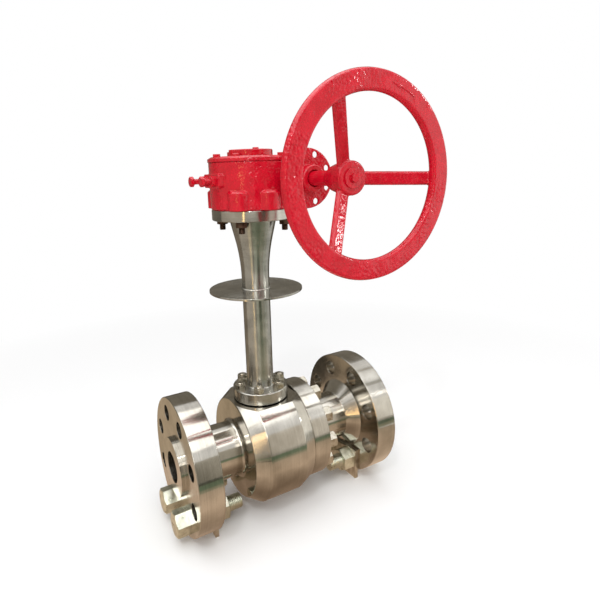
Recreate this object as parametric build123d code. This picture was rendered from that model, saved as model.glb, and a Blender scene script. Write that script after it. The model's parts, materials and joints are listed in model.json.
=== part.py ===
from build123d import *
from math import atan, cos, degrees, hypot, pi, radians, sin, sqrt, tan
import os

# A cryogenic ball valve of nominal size 50 mm, worked by a worm gear and a
# handwheel. Lengths are in millimetres. The origin is the centre of the ball,
# +X runs along the pipe to the outlet, +Z up the stem, and the handwheel is on
# the -Y side. The valve is open as drawn.

# Pipe bore and end flanges
bore_radius = 24.5
inlet_face_x = -152.0
outlet_face_x = 203.3
flange_radius = 107.5
flange_thickness = 38.1
flange_chamfer = 1.0
raised_face_radius = 46.05
raised_face_height = 6.4
flange_hub_radius = 60.2
flange_hole_count = 8
flange_hole_radius = 12.7
outlet_hole_room = 0.3
flange_bolt_circle_radius = 82.55

# Body, turned in one piece with the inlet flange
body_neck_radius = 44.0
neck_fillet = 6.0
body_face_x = -53.0
body_face_radius = 80.8
body_radius = 95.4
body_front_cone = 22.0
body_end_x = 52.2
body_rear_cone = 21.0
body_end_radius = 85.5
shoulder_fillet = 2.0

# Closure, the tailpiece with the outlet flange
closure_gap = 1.2
closure_flange_radius = 84.0
closure_flange_thickness = 31.4
closure_neck_radius = 42.0
closure_spigot_radius = 51.8
closure_spigot_length = 15.4
closure_spigot_room = 0.2
closure_nose_length = 16.0
closure_nose_wall = 5.5
closure_gasket_thickness = 2.0
closure_stud_count = 10
closure_stud_circle_radius = 69.0
closure_stud_radius = 8.0
closure_stud_depth = 22.0
closure_nut_flats = 24.0
closure_nut_height = 14.8

# Ball and seats
ball_radius = 40.0
ball_room = 3.0
slot_width = 14.2
slot_floor = 5.5
vent_radius = 1.5
seat_radius = 37.0
seat_front = 24.0
seat_length = 16.0
seat_recess = 2.0
seat_pocket_room = 0.2
seat_ball_gap = 0.3
seat_metal_gap = 1.0
insert_inner_radius = 26.8
insert_outer_radius = 31.6
insert_depth = 9.0
spring_height = 2.0
spring_thickness = 0.9
spring_inner_radius = 28.0
spring_outer_radius = 36.0

# Stem
stem_radius = 11.0
stem_collar_radius = 17.0
stem_collar_bottom = 52.0
stem_collar_thickness = 8.0
stem_foot_radius = 14.2
tang_clearance = 0.2
tang_shoulder_room = 2.5
stem_below_cap = 1.5
collar_gap = 0.3
thrust_washer_thickness = 1.8

# Extended bonnet
bonnet_flange_top = 100.0
bonnet_flange_thickness = 18.0
bonnet_flange_radius = 45.2
bonnet_gasket_thickness = 2.0
bonnet_gasket_radius = 30.5
bonnet_gasket_room = 0.5
bonnet_spigot_radius = 22.0
bonnet_spigot_length = 20.0
bonnet_fillet = 2.0
bonnet_stud_count = 6
bonnet_stud_circle_radius = 36.0
bonnet_stud_radius = 5.0
bonnet_stud_depth = 15.0
bonnet_nut_flats = 16.0
bonnet_nut_height = 8.4
column_radius = 22.0
column_bore_radius = 14.0
flare_arc_radius = 279.0
flare_length = 94.0
flare_top_radius = 36.5
operator_flange_bottom = 375.0
operator_flange_thickness = 16.5
operator_flange_radius = 62.5
operator_recess_radius = 35.0
operator_recess_depth = 3.2
drip_plate_drop = 19.0
drip_plate_radius = 73.8
drip_plate_thickness = 3.0
lower_bushing_wall = 2.0
lower_bushing_length = 16.0

# Stem packing
packing_radius = 18.0
packing_ring_count = 4
packing_ring_height = 5.0
packing_ring_gap = 0.2
gland_pocket_radius = 30.0
gland_pocket_sink = 5.0
gland_entry = 10.2
gland_lift = 4.0
gland_flange_thickness = 6.0
gland_flange_radius = 29.0
gland_screw_count = 4
gland_screw_circle_radius = 24.0
gland_screw_radius = 3.0
gland_screw_depth = 14.0
gland_head_radius = 4.8
gland_head_height = 5.5
gland_socket_radius = 2.7

# Studs between the operator flange and the gear housing
operator_stud_count = 4
operator_stud_circle_radius = 51.0
operator_stud_radius = 5.0
operator_stud_depth = 11.5
operator_nut_flats = 16.0
operator_nut_height = 8.4
operator_stud_tail = 9.0

# Gear housing
housing_radius = 63.3
housing_above_worm = 26.5
housing_floor = 12.5
housing_chamfer = 2.0
wheel_room_radius = 44.5
lobe_angles = (45, 90, 135, 225, 270, 315)
lobe_radius = 16.3
lobe_reach = 72.0
lobe_bottom = 0.5
lobe_height = 27.5
lobe_chamfer = 3.0
housing_spigot_radius = 34.9
housing_spigot_depth = 3.0
worm_case_radius = 25.0
worm_case_front = -62.0
worm_case_rear = 58.0
worm_case_block_x = 4.0
worm_case_step = 5.0
rear_boss_length = 12.0
worm_room_radius = 19.0
worm_room_half = 46.0
input_disc_face = -74.2
input_disc_thickness = 4.0
input_disc_chamfer = 0.8
input_disc_radius = 43.4
input_hole_count = 8
input_hole_radius = 4.5
input_hole_circle_radius = 36.3
input_boss_radius = 19.0
input_boss_height = 19.0
input_boss_chamfer = 1.5
input_boss_bore_room = 1.2
input_neck_radius = 27.0
stop_pad_x = -65.0
stop_pad_width = 58.0
stop_pad_height = 20.0
stop_pad_fillet = 4.0
stop_hole_overrun = 8.0

# Gear cover and indicator
cover_gasket_thickness = 0.5
cover_thickness = 7.3
cover_radius = 64.4
cover_edge = 4.4
cover_slope = 5.0
cover_bolt_count = 3
cover_bolt_circle_radius = 54.0
cover_bolt_radius = 3.0
cover_bolt_depth = 10.0
cover_bolt_flats = 10.0
cover_bolt_head = 4.0
cover_lug_angle = 213.0
cover_lug_radius = 38.2
cover_lug_width = 11.5
cover_lug_depth = 6.5
cover_lug_height = 4.3
cover_lug_chamfer = 1.2
cap_gap = 1.0
cap_radius = 34.3
cap_height = 9.0
cap_chamfer = 1.0
cap_flat_angle = 153.0
cap_flat_reach = 30.8
cap_flat_depth = 3.2
cap_screw_offset = 15.5
cap_screw_angle = -82.0
cap_screw_radius = 2.5
cap_screw_depth = 8.0
cap_screw_head_radius = 4.7
cap_screw_head = 2.9
cap_screw_chamfer = 0.8

# Worm wheel segment
wheel_teeth_all_round = 40
gear_module = 2.0
wheel_face_width = 20.0
wheel_hub_radius = 23.0
wheel_journal_radius = 19.0
wheel_float = 0.3
wheel_top_float = 0.9
stop_face = 24.0
journal_gap = 0.06
bush_wall = 3.0

# Worm and its shaft
worm_axis_x = 55.0
worm_height = 42.5
worm_length = 42.0
worm_flank_angle = 20.0
tooth_play = 0.35
worm_shaft_radius = 10.5
worm_core_relief = 0.4
thread_sink = 0.5
front_bush_radius = 15.0
front_bush_length = 16.0
rear_journal_radius = 9.0
rear_bush_length = 14.0
shaft_float = 0.3
shaft_end_room = 1.0
seal_radius = 14.0
seal_length = 7.0
rear_cap_radius = 28.5
rear_cap_thickness = 6.0
rear_screw_count = 4
rear_screw_circle_radius = 24.0
rear_screw_radius = 2.5
rear_screw_depth = 9.0
rear_screw_flats = 8.0
rear_screw_head = 3.5

# Stop screws
stop_screw_spacing = 29.0
stop_screw_radius = 4.0
stop_screw_flats = 13.0
stop_head_height = 5.3
stop_nut_height = 6.5
stop_gap = 0.3
open_stop_head_x = -87.0
closed_stop_head_x = -82.0

# Handwheel
wheel_front_y = -222.2
rim_middle_radius = 111.3
rim_face_width = 22.6
rim_width = 26.2
rim_side_depth = 5.5
rim_depth = 15.7
rim_edge_fillet = 2.2
spoke_angles = (-2, 114.5, 241)
spoke_face_width = 14.8
spoke_width = 18.0
spoke_side_depth = 6.0
spoke_depth = 10.5
spoke_edge_fillet = 1.4
spoke_root_y = -167.0
spoke_end_drop = 4.7
hub_front_y = -179.8
hub_back_y = -131.0
hub_radius = 22.0
hub_waist_radius = 17.5
hub_back_radius = 11.5
hub_front_length = 16.5
hub_waist_length = 19.0
hub_chamfer = 1.5
shaft_end_radius = 8.5
shaft_end_gap = 1.5
wheel_washer_radius = 13.2
wheel_washer_thickness = 2.5
wheel_screw_radius = 3.0
wheel_screw_length = 18.0
wheel_screw_flats = 10.0
wheel_screw_head = 4.0

# Keys
stem_key_size = 6.0
stem_key_inset = 4.0
wheel_key_size = 5.0
wheel_key_length = 22.0
wheel_key_inset = 3.0
key_clearance = 0.05

# Foot plates and their bolts
foot_thickness = 6.0
foot_half_width = 51.0
foot_bottom_z = -111.0
foot_top_z = -55.0
foot_hub_room = 2.0
foot_hole_room = 0.3
foot_bolt_radius = 12.0
foot_bolt_length = 90.0
foot_bolt_head = 20.0
foot_bolt_flats = 36.0
foot_nut_height = 21.5

# Clearances of parts that don't move against each other
thread_gap = 0.1
seat_gap = 0.02
hole_gap = 0.5
stud_tail = 2.0
stud_chamfer = 1.0

# Places that follow from the sizes above
closure_face_x = body_end_x + closure_gap
closure_back_x = closure_face_x + closure_flange_thickness
spigot_end_x = closure_face_x - closure_spigot_length
gasket_seat_x = spigot_end_x - closure_gasket_thickness
nose_end_x = spigot_end_x - closure_nose_length
seat_back = seat_front + seat_length
pocket_back = seat_back + spring_height
pocket_radius = seat_radius + seat_pocket_room
room_radius = ball_radius + ball_room
nose_radius = pocket_radius + closure_nose_wall
bonnet_flange_bottom = bonnet_flange_top - bonnet_flange_thickness
pad_z = bonnet_flange_bottom - bonnet_gasket_thickness
bonnet_bottom = bonnet_flange_bottom - bonnet_spigot_length
stem_collar_top = stem_collar_bottom + stem_collar_thickness
operator_face_z = operator_flange_bottom + operator_flange_thickness
flare_start_z = operator_flange_bottom - flare_length
drip_plate_z = flare_start_z - drip_plate_drop
gland_pocket_bottom = operator_flange_bottom - gland_pocket_sink
gland_flange_bottom = gland_pocket_bottom + gland_lift
packing_top = gland_pocket_bottom - gland_entry
packing_bottom = packing_top + packing_ring_gap - packing_ring_count * packing_ring_height
worm_axis_z = operator_face_z + worm_height
housing_top_z = worm_axis_z + housing_above_worm
housing_floor_z = operator_face_z + housing_floor
cover_bottom_z = housing_top_z + cover_gasket_thickness
cover_top_z = cover_bottom_z + cover_thickness
cap_bottom_z = cover_top_z + cap_gap
cap_top_z = cap_bottom_z + cap_height
stem_top_z = cap_bottom_z - stem_below_cap
wheel_hub_bottom = housing_floor_z + wheel_float
wheel_hub_top = cover_bottom_z - wheel_top_float
stem_key_bottom = wheel_hub_bottom + stem_key_inset
stem_key_length = wheel_hub_top - stem_key_inset - stem_key_bottom
wheel_pitch_radius = gear_module * wheel_teeth_all_round / 2
worm_pitch_radius = worm_axis_x - wheel_pitch_radius
worm_core_radius = worm_pitch_radius - gear_module - worm_core_relief
worm_lead = pi * gear_module
bush_radius = wheel_journal_radius + bush_wall
shaft_end_y = hub_front_y + shaft_end_gap


def pipe_turned(*points):
    # Turned about the pipe's axis, from points given as (x, radius)
    return revolve(make_face(Polyline(*points, close=True)), Axis.X)


def stem_turned(*points):
    # Turned about the stem's axis, from points given as (radius, z)
    outline = Polyline(*[(radius, 0, z) for radius, z in points], close=True)
    return revolve(make_face(outline), Axis.Z)


def worm_turned(*points):
    # Turned about the worm's axis, from points given as (y, radius)
    places = [(worm_axis_x + radius, y, worm_axis_z) for y, radius in points]
    worm_axis = Axis((worm_axis_x, 0, worm_axis_z), (0, 1, 0))
    return revolve(make_face(Polyline(*places, close=True)), worm_axis)


def stem_ring(inner, outer, bottom, top):
    return stem_turned((inner, bottom), (outer, bottom), (outer, top), (inner, top))


def pipe_ring(inner, outer, left, right):
    return pipe_turned((left, inner), (left, outer), (right, outer), (right, inner))


def worm_ring(inner, outer, front, rear):
    return worm_turned((front, inner), (front, outer), (rear, outer), (rear, inner))


def rod(start, direction, radius, length, chamfered=0.0):
    # A round bar from start along direction, with its far end chamfered
    bar = Cylinder(radius, length, align=(Align.CENTER, Align.CENTER, Align.MIN))
    if chamfered:
        bar = chamfer(bar.faces().sort_by(Axis.Z)[-1].edges(), chamfered)
    return Plane(origin=start, z_dir=direction) * bar


def hexagon(start, direction, flats, height, bore=0.0):
    # A hexagon nut or head from start along direction, its far corners turned off
    corner = flats / sqrt(3)
    drop = (corner - flats / 2) * tan(radians(30))
    prism = extrude(RegularPolygon(flats / 2, 6, major_radius=False), height)
    envelope = stem_turned(
        (bore, 0), (corner, 0), (corner, height - drop), (flats / 2, height), (bore, height)
    )
    return Plane(origin=start, z_dir=direction) * (prism & envelope)


def spread(count, radius, start=0.0):
    # Points evenly round a circle, as pairs
    angles = [radians(start + 360 * number / count) for number in range(count)]
    return [(radius * cos(angle), radius * sin(angle)) for angle in angles]


def circles_at(solid, axis, places):
    # The circular edges of a turned solid at the given (position, radius) pairs
    found = []
    for edge in solid.edges().filter_by(GeomType.CIRCLE):
        centre = edge.arc_center
        position = {"X": centre.X, "Y": centre.Y, "Z": centre.Z}[axis]
        for place, radius in places:
            if abs(position - place) < 0.01 and abs(edge.radius - radius) < 0.01:
                found.append(edge)
    return found


def group(pieces):
    return Part() + list(pieces)


def save(name, shape):
    shape.label = name
    export_step(shape, f"parts/{name}.step")
    print(name, round(shape.volume))


os.makedirs("parts", exist_ok=True)

# Bolt places on the flanges, straddling the pipe's upright centreline
flange_half_step = 180 / flange_hole_count
flange_places = spread(flange_hole_count, flange_bolt_circle_radius, flange_half_step)
lowest = min(z for y, z in flange_places)
foot_places = [(y, z) for y, z in flange_places if z < lowest + 1]


def flange_holes(left, radius):
    return [rod((left - 1, y, z), (1, 0, 0), radius, flange_thickness + 2) for y, z in flange_places]


# Body
inlet_back_x = inlet_face_x + flange_thickness
body_hub_end = inlet_back_x + flange_hub_radius - body_neck_radius
body = pipe_turned(
    (inlet_face_x - raised_face_height, bore_radius),
    (inlet_face_x - raised_face_height, raised_face_radius),
    (inlet_face_x, raised_face_radius),
    (inlet_face_x, flange_radius),
    (inlet_back_x, flange_radius),
    (inlet_back_x, flange_hub_radius),
    (body_hub_end, body_neck_radius),
    (body_face_x, body_neck_radius),
    (body_face_x, body_face_radius),
    (body_face_x + body_front_cone, body_radius),
    (body_end_x - body_rear_cone, body_radius),
    (body_end_x, body_end_radius),
    (body_end_x, closure_spigot_radius + closure_spigot_room),
    (gasket_seat_x, closure_spigot_radius + closure_spigot_room),
    (gasket_seat_x, room_radius),
    (-seat_front + seat_recess, room_radius),
    (-seat_front + seat_recess, pocket_radius),
    (-pocket_back, pocket_radius),
    (-pocket_back, bore_radius),
)
body = chamfer(
    circles_at(body, "X", [(inlet_face_x, flange_radius), (inlet_back_x, flange_radius)]),
    flange_chamfer,
)
body = fillet(circles_at(body, "X", [(body_face_x, body_neck_radius)]), neck_fillet)
body = fillet(
    circles_at(
        body,
        "X",
        [
            (body_face_x, body_face_radius),
            (body_face_x + body_front_cone, body_radius),
            (body_end_x - body_rear_cone, body_radius),
        ],
    ),
    shoulder_fillet,
)
body -= flange_holes(inlet_face_x, flange_hole_radius)
pad_cut = Box(body_end_x - body_face_x + 10, 2 * body_radius, body_radius)
body -= Pos((body_end_x + body_face_x) / 2, 0, pad_z + body_radius / 2) * pad_cut
stem_bore_radius = stem_collar_radius + collar_gap
body -= stem_ring(0, stem_bore_radius, 0, pad_z + 1)
body -= stem_ring(0, bonnet_spigot_radius + thread_gap, bonnet_bottom, pad_z + 1)
bonnet_places = spread(bonnet_stud_count, bonnet_stud_circle_radius)
for x, y in bonnet_places:
    body -= rod((x, y, pad_z + 1), (0, 0, -1), bonnet_stud_radius + thread_gap, bonnet_stud_depth + 1)
closure_places = spread(closure_stud_count, closure_stud_circle_radius)
for y, z in closure_places:
    body -= rod(
        (body_end_x + 1, y, z), (-1, 0, 0), closure_stud_radius + thread_gap, closure_stud_depth + 1
    )
save("body", body)

# Closure
outlet_back_x = outlet_face_x - flange_thickness
closure_hub_start = outlet_back_x - flange_hub_radius + closure_neck_radius
closure = pipe_turned(
    (nose_end_x, pocket_radius),
    (nose_end_x, nose_radius),
    (spigot_end_x, nose_radius),
    (spigot_end_x, closure_spigot_radius),
    (closure_face_x, closure_spigot_radius),
    (closure_face_x, closure_flange_radius),
    (closure_back_x, closure_flange_radius),
    (closure_back_x, closure_neck_radius),
    (closure_hub_start, closure_neck_radius),
    (outlet_back_x, flange_hub_radius),
    (outlet_back_x, flange_radius),
    (outlet_face_x, flange_radius),
    (outlet_face_x, raised_face_radius),
    (outlet_face_x + raised_face_height, raised_face_radius),
    (outlet_face_x + raised_face_height, bore_radius),
    (pocket_back, bore_radius),
    (pocket_back, pocket_radius),
)
closure = chamfer(
    circles_at(
        closure,
        "X",
        [
            (outlet_face_x, flange_radius),
            (outlet_back_x, flange_radius),
            (closure_face_x, closure_flange_radius),
            (closure_back_x, closure_flange_radius),
        ],
    ),
    flange_chamfer,
)
closure = fillet(circles_at(closure, "X", [(closure_back_x, closure_neck_radius)]), neck_fillet)
# Drilled a little looser than the inlet, so that holes in line stay separate features
closure -= flange_holes(outlet_back_x, flange_hole_radius + outlet_hole_room)
for y, z in closure_places:
    closure -= rod(
        (closure_face_x - 1, y, z),
        (1, 0, 0),
        closure_stud_radius + hole_gap,
        closure_flange_thickness + 2,
    )
save("closure", closure)

save(
    "closure_gasket",
    pipe_ring(
        room_radius + seat_gap, closure_spigot_radius, gasket_seat_x, spigot_end_x
    ),
)
closure_stud_start = body_end_x - closure_stud_depth
closure_stud_length = closure_back_x + closure_nut_height + stud_tail - closure_stud_start
save(
    "closure_studs",
    group(
        rod((closure_stud_start, y, z), (1, 0, 0), closure_stud_radius, closure_stud_length, stud_chamfer)
        for y, z in closure_places
    ),
)
save(
    "closure_nuts",
    group(
        hexagon(
            (closure_back_x, y, z),
            (1, 0, 0),
            closure_nut_flats,
            closure_nut_height,
            closure_stud_radius + thread_gap,
        )
        for y, z in closure_places
    ),
)


# Seats, drawn at the inlet side of the ball and turned round for the outlet side
insert_back = -seat_front - insert_depth
insert = pipe_ring(insert_inner_radius, insert_outer_radius, insert_back, -seat_front)
ring = pipe_ring(bore_radius, seat_radius, -seat_back, -seat_front) - insert
ring -= Rot(0, 90, 0) * Sphere(ball_radius + seat_metal_gap)
insert -= Rot(0, 90, 0) * Sphere(ball_radius + seat_ball_gap)
spring = pipe_turned(
    (-pocket_back, spring_outer_radius),
    (-pocket_back + spring_thickness, spring_outer_radius),
    (-seat_back, spring_inner_radius),
    (-seat_back - spring_thickness, spring_inner_radius),
)
for name, turn in (("inlet", 0), ("outlet", 180)):
    save(f"{name}_seat_ring", Rot(0, 0, turn) * ring)
    save(f"{name}_seat_insert", Rot(0, 0, turn) * insert)
    save(f"{name}_seat_spring", Rot(0, 0, turn) * spring)

# Ball, with its bore, the slot for the stem and a vent into the bore
slot_z = bore_radius + slot_floor
ball = Sphere(ball_radius)
ball -= pipe_ring(0, bore_radius, -ball_radius - 1, ball_radius + 1)
ball -= Pos(0, 0, slot_z) * Box(
    slot_width, 2 * ball_radius, ball_radius, align=(Align.CENTER, Align.CENTER, Align.MIN)
)
ball -= rod((0, 0, 0), (0, 0, 1), vent_radius, ball_radius)
save("ball", ball)

# Stem
tang_bottom = slot_z + tang_clearance
stem = stem_turned(
    (0, tang_bottom),
    (stem_foot_radius, tang_bottom),
    (stem_foot_radius, stem_collar_bottom),
    (stem_collar_radius, stem_collar_bottom),
    (stem_collar_radius, stem_collar_top),
    (stem_radius, stem_collar_top),
    (stem_radius, stem_top_z - stud_chamfer),
    (stem_radius - stud_chamfer, stem_top_z),
    (0, stem_top_z),
)
tang_width = slot_width - 2 * tang_clearance
tang_top = ball_radius + tang_shoulder_room
for side in (-1, 1):
    flat = Box(
        stem_foot_radius,
        2 * stem_foot_radius,
        tang_top - tang_bottom,
        align=(Align.MIN, Align.CENTER, Align.MIN),
    )
    stem -= Rot(0, 0, 90 - 90 * side) * (Pos(tang_width / 2, 0, tang_bottom) * flat)
key_depth = stem_key_size / 2
keyway = Box(
    stem_key_size + 2 * key_clearance,
    stem_key_size + 2 * key_clearance,
    stem_key_length + 2 * key_clearance,
    align=(Align.MIN, Align.CENTER, Align.MIN),
)
keyway = Pos(stem_radius - key_depth - key_clearance, 0, stem_key_bottom - key_clearance) * keyway
stem -= keyway
save("stem", stem)

# Bonnet, from the spigot in the body up to the operator flange
flare_rise = flare_top_radius - column_radius
flare_angle = 0.0
for step in range(20):
    # The arc leaves the column upright and the cone meets it without a corner
    straight_r = flare_rise - flare_arc_radius * (1 - cos(flare_angle))
    straight_z = operator_flange_bottom - flare_start_z - flare_arc_radius * sin(flare_angle)
    flare_angle = atan(straight_r / straight_z)
arc_end_radius = column_radius + flare_arc_radius * (1 - cos(flare_angle))
arc_end_z = flare_start_z + flare_arc_radius * sin(flare_angle)
arc_middle_radius = column_radius + flare_arc_radius * (1 - cos(flare_angle / 2))
arc_middle_z = flare_start_z + flare_arc_radius * sin(flare_angle / 2)
bushing_radius = stem_radius + journal_gap + lower_bushing_wall
bushing_top = bonnet_bottom + lower_bushing_length
recess_floor = operator_face_z - operator_recess_depth
below = Polyline(
    (arc_end_radius, arc_end_z),
    (flare_top_radius, operator_flange_bottom),
    (operator_flange_radius, operator_flange_bottom),
    (operator_flange_radius, operator_face_z),
    (operator_recess_radius, operator_face_z),
    (operator_recess_radius, recess_floor),
    (gland_pocket_radius, recess_floor),
    (gland_pocket_radius, gland_pocket_bottom),
    (packing_radius, gland_pocket_bottom),
    (packing_radius, packing_bottom),
    (column_bore_radius, packing_bottom),
    (column_bore_radius, bushing_top),
    (bushing_radius, bushing_top),
    (bushing_radius, bonnet_bottom),
    (bonnet_spigot_radius, bonnet_bottom),
    (bonnet_spigot_radius, bonnet_flange_bottom),
    (bonnet_flange_radius, bonnet_flange_bottom),
    (bonnet_flange_radius, bonnet_flange_top),
    (column_radius, bonnet_flange_top),
    (column_radius, flare_start_z),
)
flare = ThreePointArc(
    (column_radius, flare_start_z), (arc_middle_radius, arc_middle_z), (arc_end_radius, arc_end_z)
)
bonnet = revolve(Plane.XZ * make_face([*below.edges(), flare]), Axis.Z)
bonnet = fillet(circles_at(bonnet, "Z", [(bonnet_flange_top, column_radius)]), bonnet_fillet)
bonnet = chamfer(
    circles_at(
        bonnet,
        "Z",
        [
            (bonnet_flange_top, bonnet_flange_radius),
            (operator_flange_bottom, operator_flange_radius),
            (operator_face_z, operator_flange_radius),
        ],
    ),
    flange_chamfer,
)
for x, y in bonnet_places:
    bonnet -= rod(
        (x, y, bonnet_flange_bottom - 1),
        (0, 0, 1),
        bonnet_stud_radius + hole_gap,
        bonnet_flange_thickness + 2,
    )
operator_places = spread(operator_stud_count, operator_stud_circle_radius, 45)
for x, y in operator_places:
    bonnet -= rod(
        (x, y, operator_flange_bottom - 1),
        (0, 0, 1),
        operator_stud_radius + hole_gap,
        operator_flange_thickness + 2,
    )
gland_places = spread(gland_screw_count, gland_screw_circle_radius, 45)
for x, y in gland_places:
    bonnet -= rod(
        (x, y, gland_pocket_bottom + 1), (0, 0, -1), gland_screw_radius + thread_gap, gland_screw_depth + 1
    )
save("bonnet", bonnet)

save(
    "bonnet_gasket",
    stem_ring(
        bonnet_spigot_radius + bonnet_gasket_room, bonnet_gasket_radius, pad_z, bonnet_flange_bottom
    ),
)
bonnet_stud_start = pad_z - bonnet_stud_depth
bonnet_stud_length = bonnet_flange_top + bonnet_nut_height + stud_tail - bonnet_stud_start
save(
    "bonnet_studs",
    group(
        rod((x, y, bonnet_stud_start), (0, 0, 1), bonnet_stud_radius, bonnet_stud_length, stud_chamfer)
        for x, y in bonnet_places
    ),
)
save(
    "bonnet_nuts",
    group(
        hexagon(
            (x, y, bonnet_flange_top),
            (0, 0, 1),
            bonnet_nut_flats,
            bonnet_nut_height,
            bonnet_stud_radius + thread_gap,
        )
        for x, y in bonnet_places
    ),
)
save(
    "drip_plate",
    stem_ring(
        column_radius + seat_gap, drip_plate_radius, drip_plate_z, drip_plate_z + drip_plate_thickness
    ),
)
save(
    "lower_bushing",
    stem_ring(
        stem_radius + journal_gap, bushing_radius - seat_gap, bonnet_bottom, bushing_top
    ),
)
save(
    "thrust_washer",
    stem_ring(
        stem_radius + collar_gap,
        stem_collar_radius,
        bonnet_bottom - thrust_washer_thickness,
        bonnet_bottom,
    ),
)

# Packing rings, the gland follower that presses them and its screws
packing = [
    stem_ring(
        stem_radius + journal_gap,
        packing_radius - seat_gap,
        packing_bottom + number * packing_ring_height,
        packing_bottom + (number + 1) * packing_ring_height - packing_ring_gap,
    )
    for number in range(packing_ring_count)
]
save("packing_rings", group(packing))
gland_top = gland_flange_bottom + gland_flange_thickness
gland = stem_turned(
    (stem_radius + collar_gap, packing_top),
    (packing_radius - thread_gap, packing_top),
    (packing_radius - thread_gap, gland_flange_bottom),
    (gland_flange_radius, gland_flange_bottom),
    (gland_flange_radius, gland_top),
    (stem_radius + collar_gap, gland_top),
)
for x, y in gland_places:
    gland -= rod(
        (x, y, gland_flange_bottom - 1), (0, 0, 1), gland_screw_radius + hole_gap, gland_flange_thickness + 2
    )
save("gland_follower", gland)
gland_screws = []
for x, y in gland_places:
    shank_start = gland_pocket_bottom - gland_screw_depth
    shank = rod((x, y, shank_start), (0, 0, 1), gland_screw_radius, gland_top - shank_start)
    head = rod((x, y, gland_top), (0, 0, 1), gland_head_radius, gland_head_height)
    socket = extrude(RegularPolygon(gland_socket_radius, 6), gland_head_height)
    head -= Pos(x, y, gland_top + gland_head_height / 2) * socket
    gland_screws.append(shank + head)
save("gland_screws", group(gland_screws))

# Gear housing, a casting with a worm case across it
lobe_circle_radius = lobe_reach - lobe_radius
housing = stem_turned(
    (0, operator_face_z - housing_spigot_depth),
    (housing_spigot_radius, operator_face_z - housing_spigot_depth),
    (housing_spigot_radius, operator_face_z),
    (housing_radius - housing_chamfer, operator_face_z),
    (housing_radius, operator_face_z + housing_chamfer),
    (housing_radius, housing_top_z),
    (0, housing_top_z),
)
for angle in lobe_angles:
    x, y = spread(1, lobe_circle_radius, angle)[0]
    housing += rod((x, y, operator_face_z + lobe_bottom), (0, 0, 1), lobe_radius, lobe_height, lobe_chamfer)
# The block that joins the worm case to the drum is set back below the worm's axis
for low_z, front_y in ((0, worm_case_front), (-worm_case_radius, worm_case_front + worm_case_step)):
    case_block = Box(
        worm_axis_x - worm_case_block_x,
        worm_case_rear - front_y,
        worm_case_radius,
        align=(Align.MIN, Align.MIN, Align.MIN),
    )
    housing += Pos(worm_case_block_x, front_y, worm_axis_z + low_z) * case_block
housing += worm_ring(0, worm_case_radius, worm_case_front, worm_case_rear)
housing += worm_ring(0, rear_cap_radius, worm_case_rear - rear_boss_length, worm_case_rear)
disc_back = input_disc_face + input_disc_thickness
boss_face = input_disc_face - input_boss_height
housing += worm_turned(
    (boss_face, 0),
    (boss_face, input_boss_radius - input_boss_chamfer),
    (boss_face + input_boss_chamfer, input_boss_radius),
    (input_disc_face, input_boss_radius),
    (input_disc_face, input_disc_radius - input_disc_chamfer),
    (input_disc_face + input_disc_chamfer, input_disc_radius),
    (disc_back, input_disc_radius),
    (disc_back, input_neck_radius),
    (worm_case_front + worm_case_step, input_neck_radius),
    (worm_case_front + worm_case_step, 0),
)
pad_depth = -stop_pad_x - wheel_room_radius
pad = Box(pad_depth, stop_pad_width, stop_pad_height, align=(Align.MIN, Align.CENTER, Align.CENTER))
pad = fillet(pad.edges().filter_by(Axis.X), stop_pad_fillet)
housing += Pos(stop_pad_x, 0, worm_axis_z) * pad
housing -= stem_ring(0, wheel_room_radius, housing_floor_z, housing_top_z + 1)
spigot_face_z = operator_face_z - housing_spigot_depth
housing -= stem_ring(0, bush_radius + seat_gap, spigot_face_z - 1, housing_floor_z + 1)
housing -= worm_ring(0, worm_room_radius, -worm_room_half, worm_case_rear + 1)
front_bush_face = -worm_room_half - front_bush_length
seal_face = front_bush_face - seal_length
housing -= worm_ring(0, front_bush_radius, front_bush_face, -worm_room_half + 1)
housing -= worm_ring(0, seal_radius, seal_face, front_bush_face + 1)
housing -= worm_ring(0, worm_shaft_radius + input_boss_bore_room, boss_face - 1, seal_face + 1)
input_places = spread(input_hole_count, input_hole_circle_radius, 180 / input_hole_count)
for across, up in input_places:
    start = (worm_axis_x + across, input_disc_face - 1, worm_axis_z + up)
    housing -= rod(start, (0, 1, 0), input_hole_radius, input_disc_thickness + 2)
for x, y in operator_places:
    start = (x, y, operator_face_z - 1)
    housing -= rod(start, (0, 0, 1), operator_stud_radius + thread_gap, operator_stud_depth + 1)
cover_places = spread(cover_bolt_count, cover_bolt_circle_radius, 180)
for x, y in cover_places:
    start = (x, y, housing_top_z + 1)
    housing -= rod(start, (0, 0, -1), cover_bolt_radius + thread_gap, cover_bolt_depth + 1)
stop_half = stop_screw_spacing / 2
for y in (-stop_half, stop_half):
    start = (stop_pad_x - 1, y, worm_axis_z)
    housing -= rod(start, (1, 0, 0), stop_screw_radius + thread_gap, pad_depth + stop_hole_overrun)
rear_places = spread(rear_screw_count, rear_screw_circle_radius, 45)
for across, up in rear_places:
    start = (worm_axis_x + across, worm_case_rear + 1, worm_axis_z + up)
    housing -= rod(start, (0, -1, 0), rear_screw_radius + thread_gap, rear_screw_depth + 1)
save("gear_housing", housing)

operator_stud_start = operator_flange_bottom - operator_nut_height - operator_stud_tail
operator_stud_end = operator_face_z + operator_stud_depth
save(
    "operator_studs",
    group(
        rod(
            (x, y, operator_stud_end),
            (0, 0, -1),
            operator_stud_radius,
            operator_stud_end - operator_stud_start,
            stud_chamfer,
        )
        for x, y in operator_places
    ),
)
save(
    "operator_nuts",
    group(
        hexagon(
            (x, y, operator_flange_bottom),
            (0, 0, -1),
            operator_nut_flats,
            operator_nut_height,
            operator_stud_radius + thread_gap,
        )
        for x, y in operator_places
    ),
)

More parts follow.
